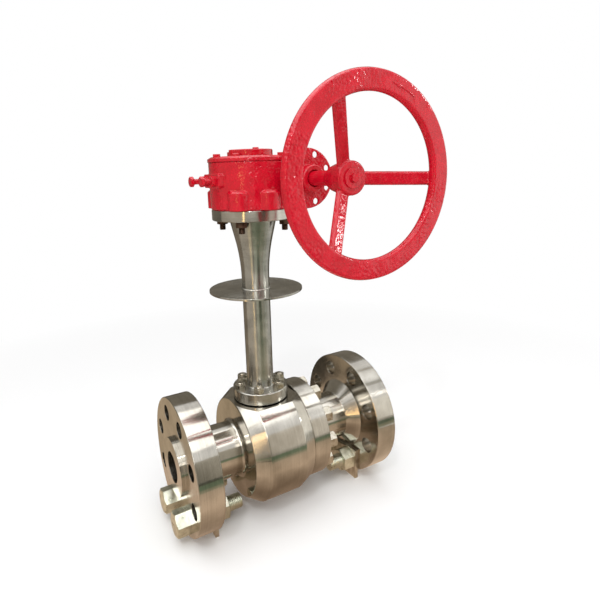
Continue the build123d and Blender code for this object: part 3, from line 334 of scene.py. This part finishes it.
def makeCasting(node, name, body, voxel, rounds):
    rough = bpy.data.objects.new(name + "Rough", frame["nodes"][node].data.copy())
    bpy.context.scene.collection.objects.link(rough)
    remesh = rough.modifiers.new("remesh", "REMESH")
    remesh.mode = "VOXEL"
    remesh.voxel_size = voxel * mm
    smooth = rough.modifiers.new("smooth", "SMOOTH")
    smooth.factor = 0.5
    smooth.iterations = rounds
    seen = rough.evaluated_get(bpy.context.evaluated_depsgraph_get())
    mesh = bpy.data.meshes.new_from_object(seen)
    mesh.name = name
    mesh.polygons.foreach_set("use_smooth", [True] * len(mesh.polygons))
    bpy.data.objects.remove(rough)
    newPiece(name, mesh, "red_paint", body, (node,), "casting")
    print(name, len(mesh.polygons), "faces")


for node, facts in castings.items():
    makeCasting(node, *facts)
print("castings softened")


def meshFrom(name, points, faces, sharpAbove=None):
    # points in mm; smooth all over, or only up to an edge angle in degrees
    mesh = bpy.data.meshes.new(name)
    mesh.from_pydata([Vector(p) * mm for p in points], [], faces)
    mesh.polygons.foreach_set("use_smooth", [True] * len(mesh.polygons))
    if sharpAbove:
        mesh.set_sharp_from_angle(angle=math.radians(sharpAbove))
    return mesh


def skinOver(rows, around, base=0):
    # the faces over rows of points, each row once round, with both ends closed
    faces = []
    for i in range(rows - 1):
        near, far = base + i * around, base + (i + 1) * around
        for k in range(around):
            n = (k + 1) % around
            faces.append((near + k, near + n, far + n, far + k))
    faces.append([base + (rows - 1) * around + k for k in range(around)])
    faces.append([base + k for k in reversed(range(around))])
    return faces


def addRound(points, faces, start, direction, rows):
    # a closed skin round an axis; a row lists radius and distance along, evenly spaced round it
    along = Vector(direction)
    side = along.orthogonal().normalized()
    other = along.cross(side)
    around = len(rows[0])
    faces += skinOver(len(rows), around, len(points))
    for row in rows:
        for k, (radius, reach) in enumerate(row):
            a = 2 * math.pi * k / around
            outward = side * math.cos(a) + other * math.sin(a)
            points.append(Vector(start) + along * reach + outward * radius)


# threads on the bolt ends that show, each with a chamfer at its end
def threadRows(t):
    steps = int(t["length"] / t["pitch"] * t["rowsPerTurn"]) + 1
    rows = []
    for i in range(steps):
        z = t["length"] * i / (steps - 1)
        row = []
        for k in range(t["around"]):
            phase = (z / t["pitch"] - k / t["around"]) % 1
            radius = t["radius"] - t["depth"] * (1 - abs(2 * phase - 1))
            row.append((min(radius, t["radius"] - t["chamfer"] + (t["length"] - z)), z))
        rows.append(row)
    return rows


footBolts = {
    "flats": 36, "head": 20, "coneShare": 0.96, "coneAngle": 30, "headAround": 48,
    "radius": 12, "plain": 62, "length": 28, "pitch": 3, "depth": 1.5, "chamfer": 1.2,
    "around": 32, "rowsPerTurn": 6, "sharpAbove": 35,
    "circle": 82.55, "angle": 22.5,   # the two lowest holes of the flange
    "ends": {   # node: name, where the heads stand, which way the bolts point
        "inlet_foot_bolts": ("inletFootBoltsThreaded", -172.0, 1),
        "outlet_foot_bolts": ("outletFootBoltsThreaded", 223.3, -1),
    },
}


def hexBoltRows(b):
    # head with its corners turned to a cone, then the plain shank up to where the thread starts
    half = b["flats"] / 2
    flat = b["coneShare"] * half
    slope = math.tan(math.radians(b["coneAngle"]))
    turns = [2 * math.pi * k / b["headAround"] for k in range(b["headAround"])]
    corners = [half / math.cos((a % (math.pi / 3)) - math.pi / 6) for a in turns]
    return [
        [(flat, 0) for c in corners],
        [(c, (c - flat) * slope) for c in corners],
        [(c, b["head"]) for c in corners],
        [(b["radius"], b["head"]) for c in corners],
        [(b["radius"], b["head"] + b["plain"]) for c in corners],
    ]


def makeFootBolts(b, node, name, headX, way):
    turn = math.radians(b["angle"])
    y, z = b["circle"] * math.sin(turn), -b["circle"] * math.cos(turn)
    threadX = headX + way * (b["head"] + b["plain"])
    points, faces = [], []
    for sideways in (-y, y):
        addRound(points, faces, (headX, sideways, z), (way, 0, 0), hexBoltRows(b))
    for sideways in (-y, y):
        addRound(points, faces, (threadX, sideways, z), (way, 0, 0), threadRows(b))
    mesh = meshFrom(name, points, faces, b["sharpAbove"])
    newPiece(name, mesh, "zinc_bolting", "valve_body", (node,))


for node, facts in footBolts["ends"].items():
    makeFootBolts(footBolts, node, *facts)
print("foot bolts threaded")

# operator studs stick out under their nuts, with the thread showing
operatorStuds = {
    "radius": 5, "length": 9.0, "pitch": 1.5, "depth": 0.85, "chamfer": 0.9,
    "around": 32, "rowsPerTurn": 6, "sharpAbove": 50,
    "circle": 51.0, "angles": (45, 135, 225, 315), "threadTop": 366.6,
}


def makeOperatorStuds(s):
    threadTop = s["threadTop"]
    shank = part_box("operator_studs")[1].z / mm - threadTop   # inside the nut, the flange and the housing
    shankRows = [[(s["radius"], reach)] * s["around"] for reach in (0, shank)]
    turns = [math.radians(angle) for angle in s["angles"]]
    places = [(s["circle"] * math.cos(a), s["circle"] * math.sin(a), threadTop) for a in turns]
    points, faces = [], []
    for place in places:
        addRound(points, faces, place, (0, 0, -1), threadRows(s))
    for place in places:
        addRound(points, faces, place, (0, 0, 1), shankRows)
    mesh = meshFrom("operatorStudsThreaded", points, faces, s["sharpAbove"])
    newPiece("operatorStudsThreaded", mesh, "dark_bolting", "valve_body", ("operator_studs",))


makeOperatorStuds(operatorStuds)
print("operator studs threaded")

# raised arrow cast on the rim's face, the way the wheel turns to open
rimArrow = {
    "radius": 111.6, "face": -222.2, "height": 0.9,
    "from": 57.5, "neck": 70.0, "neckGap": 0.3, "tip": 77.0,   # degrees round the rim
    "shaftHalf": 1.5, "headHalf": 4.0, "tipHalf": 0.05, "shaftSteps": 8, "headSteps": 6,
    # the section's corners, as shares of the half width and of the height
    "section": ((-1.0, -0.5), (-0.72, 0.75), (-0.3, 1.0), (0.3, 1.0), (0.72, 0.75), (1.0, -0.5)),
}


def makeRimArrow(a):
    low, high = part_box("handwheel")
    centreX, centreZ = (low.x + high.x) / 2 / mm, (low.z + high.z) / 2 / mm
    headStart = a["neck"] + a["neckGap"]
    stations = [(a["from"] + (a["neck"] - a["from"]) * i / a["shaftSteps"], a["shaftHalf"])
                for i in range(a["shaftSteps"] + 1)]
    stations += [(headStart + (a["tip"] - headStart) * i / a["headSteps"],
                  a["headHalf"] * (1 - i / a["headSteps"]) + a["tipHalf"]) for i in range(a["headSteps"] + 1)]
    points = []
    for angle, half in stations:
        t = math.radians(angle)
        for across, rise in a["section"]:
            r = a["radius"] + across * half
            x, z = centreX + r * math.cos(t), centreZ + r * math.sin(t)
            points.append((x, a["face"] - rise * a["height"], z))
    mesh = meshFrom("rimArrow", points, skinOver(len(stations), len(a["section"])))
    newPiece("rimArrow", mesh, "red_paint", "handwheel_unit")


makeRimArrow(rimArrow)
print("rim arrow raised")

# weld beads where the drip plate meets the column
welds = {"bead": 1.5, "flatten": 0.9, "column": 22.0, "clear": 0.3, "ripples": 70, "swell": 0.12,
         "around": 280, "section": 8}


def makeWeld(name, height, w):
    around, section = w["around"], w["section"]
    points, faces = [], []
    for i in range(around):
        a = 2 * math.pi * i / around
        bead = w["bead"] * (1 + w["swell"] * math.cos(a * w["ripples"]))
        for k in range(section):
            c = 2 * math.pi * k / section
            r = w["column"] + w["clear"] + bead * math.cos(c) * w["flatten"]
            points.append((r * math.cos(a), r * math.sin(a), height + bead * math.sin(c)))
    for i in range(around):
        n = (i + 1) % around
        for k in range(section):
            q = (k + 1) % section
            faces.append((section * i + k, section * n + k, section * n + q, section * i + q))
    newPiece(name, meshFrom(name, points, faces), "bonnet_steel", "valve_body")


plateLow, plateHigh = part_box("drip_plate")
makeWeld("plateWeldAbove", plateHigh.z / mm, welds)
makeWeld("plateWeldBelow", plateLow.z / mm, welds)
print("welds laid")

# pale floor: it keeps the shadow near the valve and turns plain white further out
paleFloor = {"size": 8.0, "shadowTo": 0.5, "whiteFrom": 1.3, "paint": "#FCFCFC"}   # metres
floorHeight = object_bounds()[0].z


def makeFloor(f):
    half = f["size"] / 2
    corners = [(-half, -half, floorHeight), (half, -half, floorHeight), (half, half, floorHeight),
               (-half, half, floorHeight)]
    mesh = bpy.data.meshes.new("floor")
    mesh.from_pydata(corners, [], [(0, 1, 2, 3)])
    floor = bpy.data.objects.new("floor", mesh)
    bpy.context.scene.collection.objects.link(floor)
    material, tree = newMaterial("paleFloor")
    where = addNode(tree, "ShaderNodeTexCoord").outputs["Object"]
    reach = addNode(tree, "ShaderNodeVectorMath", {"operation": "LENGTH"}, {0: where})
    fade = addNode(tree, "ShaderNodeMapRange", {"From Min": f["shadowTo"], "From Max": f["whiteFrom"]},
                   {"Value": reach.outputs["Value"]})
    shader = addNode(tree, "ShaderNodeBsdfDiffuse", {"Color": linearColour(f["paint"])})
    white = addNode(tree, "ShaderNodeEmission", {"Strength": 1.0})
    path = addNode(tree, "ShaderNodeLightPath")
    seen = addNode(tree, "ShaderNodeMath", {"operation": "MULTIPLY"},
                   {0: path.outputs["Is Camera Ray"], 1: fade.outputs["Result"]})
    mix = addNode(tree, "ShaderNodeMixShader", {},
                  {0: seen.outputs["Value"], 1: shader.outputs[0], 2: white.outputs[0]})
    addNode(tree, "ShaderNodeOutputMaterial", {}, {"Surface": mix.outputs[0]})
    mesh.materials.append(material)


makeFloor(paleFloor)

# soft lamps, all aimed at the middle of the valve
lamps = {
    "aim": (0.05, 0, 0.22),
    "discs": [   # name, place, size in metres, watts
        ("overheadLamp", (-0.2, -0.3, 2.0), 3.4, 44),
        ("frontLamp", (-1.2, -2.0, 1.2), 0.9, 10),
        ("sideLamp", (1.75, -1.1, 1.05), 0.26, 4.5),
        ("smallLamp", (-0.9, -1.1, 1.8), 0.16, 6),
    ],
}


def makeLamps(rig):
    for name, place, size, power in rig["discs"]:
        data = bpy.data.lights.new(name, "AREA")
        data.shape = "DISK"
        data.size = size
        data.energy = power
        lamp = bpy.data.objects.new(name, data)
        turn = (Vector(rig["aim"]) - Vector(place)).to_track_quat("-Z", "Y")
        lamp.matrix_world = Matrix.Translation(place) @ turn.to_matrix().to_4x4()
        bpy.context.scene.collection.objects.link(lamp)


makeLamps(lamps)
print("lamps hung")

# cards that only shiny surfaces see, for the bands and shades in bare steel; metres and degrees
cards = {
    "radius": 2.4, "leastSteps": 8, "stepAngle": 6,
    "walls": [   # name, colour, from and to azimuth, from and to height, strength
        ("brightWindow", "#FFFDF6", -52, 14, -0.11, 1.2, 1.3),
        ("shadeInFront", "#BFB8A9", -79, -70, -0.11, 1.3, 1),
        ("darkPost", "#66645A", -97, -79, -0.11, 1.3, 1),
        ("greyDoor", "#EDE5D8", -70, -52, -0.11, 1.4, 1),
        ("paleWall", "#C6BEB2", -140.2, -97, -0.11, 1.4, 1),
        ("warmWindow", "#FFD08C", -141.6, -140.2, -0.11, 1.4, 12),
        ("farWall", "#CFC3B3", -212, -141.6, -0.11, 1.4, 1),
        ("darkRack", "#807A6F", 34, 148, -0.11, 2.3, 1),
        ("rackEnd", "#726C62", 14, 34, -0.11, 1.85, 1),
    ],
    "patchLift": 1.0,   # mm above the floor
    "patches": [   # name, colour, from and to azimuth, from and to distance
        ("darkAisle", "#5A5B4F", -99, -77, 0.93, 2.4),
        ("brightAisle", "#F4F2EC", -47, -31, 0.58, 2.4),
        ("lightStripe", "#E2E2CE", -118, -102, 0.5, 2.4),
        ("darkStripe", "#544D41", -129, -122, 0.5, 2.4),
        ("warmStripe", "#E4D6B8", -150, -133, 0.5, 2.4),
        ("backFloor", "#BDA88C", 106, 150, 0.28, 0.6),
        ("backShade", "#8F8374", 95, 150, 0.6, 2.4),
        ("deepShade", "#4A443B", 14, 106, 0.3, 0.6),
        ("backCorner", "#5E574C", 14, 95, 0.6, 2.4),
        ("paleFloor", "#C8C6C0", -31, 12, 0.62, 2.4),
    ],
    "strips": [   # name, colour, from and to x, from and to y, height above the floor
        ("roofBeam", "#BDBBB4", -3.0, 5.0, -1.04, -0.8, 2.02),
        ("farPurlin", "#C4BFB5", 0.9, 5.0, 0.1, 0.3, 2.02),
        ("greenBench", "#7C8B72", -0.5, 0.5, -1.05, -0.55, 0.002),
        ("greenMachine", "#6E7A66", 0.5, 1.5, -1.05, -0.6, 0.002),
        ("greenShadow", "#A3A087", -0.5, 1.5, -0.62, -0.44, 0.0015),
    ],
    "zoneLift": 0.5, "zoneSides": 48,
    # the floor mirrored in the steel; the dark browns nearest the middle are a painted shadow of the valve on
    # it
    "floorZonesAndValveShadow": [   # distance from the middle, colour mirrored from there
        (0.0, "#75604D"), (0.15, "#98806A"), (0.24, "#DFC4A9"),
        (0.5, "#CDB8A0"), (0.8, "#BFB6A8"), (1.9, "#C8C2B8"),
    ],
}


def addCard(name, points, faces, zones, strength=1.0):
    # in one colour, or in zones round the middle
    mesh = bpy.data.meshes.new(name)
    mesh.from_pydata(points, [], faces)
    card = bpy.data.objects.new(name, mesh)
    bpy.context.scene.collection.objects.link(card)
    card.visible_camera = False
    card.visible_diffuse = False
    card.visible_shadow = False
    card.visible_transmission = False
    card.visible_volume_scatter = False
    material, tree = newMaterial(name)
    glow = addNode(tree, "ShaderNodeEmission", {"Color": linearColour(zones[0][1]), "Strength": strength})
    addNode(tree, "ShaderNodeOutputMaterial", {}, {"Surface": glow.outputs[0]})
    if len(zones) > 1:
        farthest = zones[-1][0]
        where = addNode(tree, "ShaderNodeTexCoord").outputs["Object"]
        reach = addNode(tree, "ShaderNodeVectorMath", {"operation": "LENGTH"}, {0: where})
        share = addNode(tree, "ShaderNodeMapRange", {"From Max": farthest}, {"Value": reach.outputs["Value"]})
        ramp = addNode(tree, "ShaderNodeValToRGB", {}, {"Fac": share.outputs["Result"]})
        stops = ramp.color_ramp.elements
        while len(stops) < len(zones):
            stops.new(0.5)
        for stop, (distance, hexValue) in zip(stops, zones):
            stop.position = distance / farthest
        for stop, (distance, hexValue) in zip(stops, zones):
            stop.color = linearColour(hexValue)
        tree.links.new(ramp.outputs["Color"], glow.inputs["Color"])
    mesh.materials.append(material)


def arcBand(start, end, sides, c):
    # a band along an arc round the middle, its two sides given as radius and height
    steps = max(c["leastSteps"], int((end - start) / c["stepAngle"]))
    angles = [math.radians(start + (end - start) * i / steps) for i in range(steps + 1)]
    points = [(r * math.cos(a), r * math.sin(a), z) for a in angles for r, z in sides]
    return points, [(2 * i, 2 * i + 2, 2 * i + 3, 2 * i + 1) for i in range(steps)]


def makeCards(c):
    patchHeight = floorHeight + c["patchLift"] * mm
    zoneHeight = floorHeight + c["zoneLift"] * mm
    for name, hexValue, start, end, bottom, top, strength in c["walls"]:
        band = arcBand(start, end, ((c["radius"], bottom), (c["radius"], top)), c)
        addCard(name, *band, [(0, hexValue)], strength)
    for name, hexValue, start, end, near, far in c["patches"]:
        band = arcBand(start, end, ((near, patchHeight), (far, patchHeight)), c)
        addCard(name, *band, [(0, hexValue)])
    for name, hexValue, left, right, near, far, height in c["strips"]:
        corners = [(x, y, floorHeight + height) for x in (left, right) for y in (near, far)]
        addCard(name, corners, [(0, 1, 3, 2)], [(0, hexValue)])
    turns = [2 * math.pi * k / c["zoneSides"] for k in range(c["zoneSides"])]
    disc = [(c["radius"] * math.cos(a), c["radius"] * math.sin(a), zoneHeight) for a in turns]
    # mirrored floor, darker nearest the middle as a painted shadow of the valve
    addCard("floorZonesAndValveShadow", disc, [tuple(range(c["zoneSides"]))], c["floorZonesAndValveShadow"])


makeCards(cards)
print("cards set up")

# soft light from all round, and white wherever the camera, metal or glass sees past the floor
softWorld = {"strength": 0.4}


def makeWorld(w):
    world = bpy.data.worlds.new("studioWorld")
    bpy.context.scene.world = world
    world.use_nodes = True
    tree = world.node_tree
    tree.nodes.clear()
    path = addNode(tree, "ShaderNodeLightPath")
    soft = addNode(tree, "ShaderNodeBackground", {"Color": (1, 1, 1, 1), "Strength": w["strength"]})
    white = addNode(tree, "ShaderNodeBackground", {"Color": (1, 1, 1, 1), "Strength": 1.0})
    seen = addNode(tree, "ShaderNodeMath", {"operation": "MAXIMUM"},
                   {0: path.outputs["Is Camera Ray"], 1: path.outputs["Is Glossy Ray"]})
    through = addNode(tree, "ShaderNodeMath", {"operation": "MAXIMUM"},
                      {0: seen.outputs["Value"], 1: path.outputs["Is Transmission Ray"]})
    mix = addNode(tree, "ShaderNodeMixShader", {},
                  {0: through.outputs["Value"], 1: soft.outputs[0], 2: white.outputs[0]})
    addNode(tree, "ShaderNodeOutputWorld", {}, {"Surface": mix.outputs[0]})


makeWorld(softWorld)
bpy.context.scene.view_settings.view_transform = "Standard"
print("studio set")
